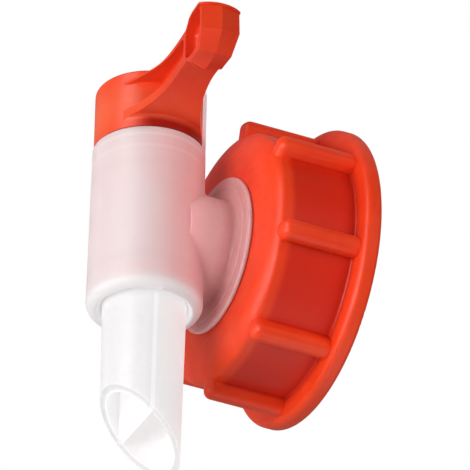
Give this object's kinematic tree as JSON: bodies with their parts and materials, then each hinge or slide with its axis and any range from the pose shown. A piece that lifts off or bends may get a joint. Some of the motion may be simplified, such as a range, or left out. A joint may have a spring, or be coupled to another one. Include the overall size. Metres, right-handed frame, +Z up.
{
  "type": "drum drain tap",
  "caption": "Drain tap for a drum or canister: ribbed union cap, side neck, rotary plug turned by a side lever, and a downward spout cut at an angle.",
  "frame": {"origin": "centre of the union cap's mouth, on the cap's axis", "axes": "+Y along the cap's axis out of its mouth, towards the drum; +Z up along the barrel, towards the lever; +X to the side the closed lever points to"},
  "size_m": [0.0906, 0.0638, 0.1112],
  "materials": {
    "orange_plastic": "satin moulded",
    "natural_plastic": "satin moulded, translucent",
    "seal_rubber": "smooth",
    "seal_foam": "matte"
  },
  "bodies": {
    "cap": {"screw_cap": "orange_plastic"},
    "tap": {"tap_body": "natural_plastic", "neck_gasket": "seal_foam"},
    "plug": {"rotary_plug_lever": "orange_plastic", "upper_plug_o_ring": "seal_rubber", "lower_plug_o_ring": "seal_rubber"}
  },
  "joints": [
    {"name": "cap_swivel", "type": "hinge", "parent": "cap", "child": "tap", "pos_m": [0, 0, 0], "axis": [0, 1, 0], "continuous": true},
    {"name": "lever_turn", "type": "hinge", "parent": "tap", "child": "plug", "pos_m": [0, -0.0486, 0], "axis": [0, 0, 1], "range_deg": [-90, 0]}
  ]
}
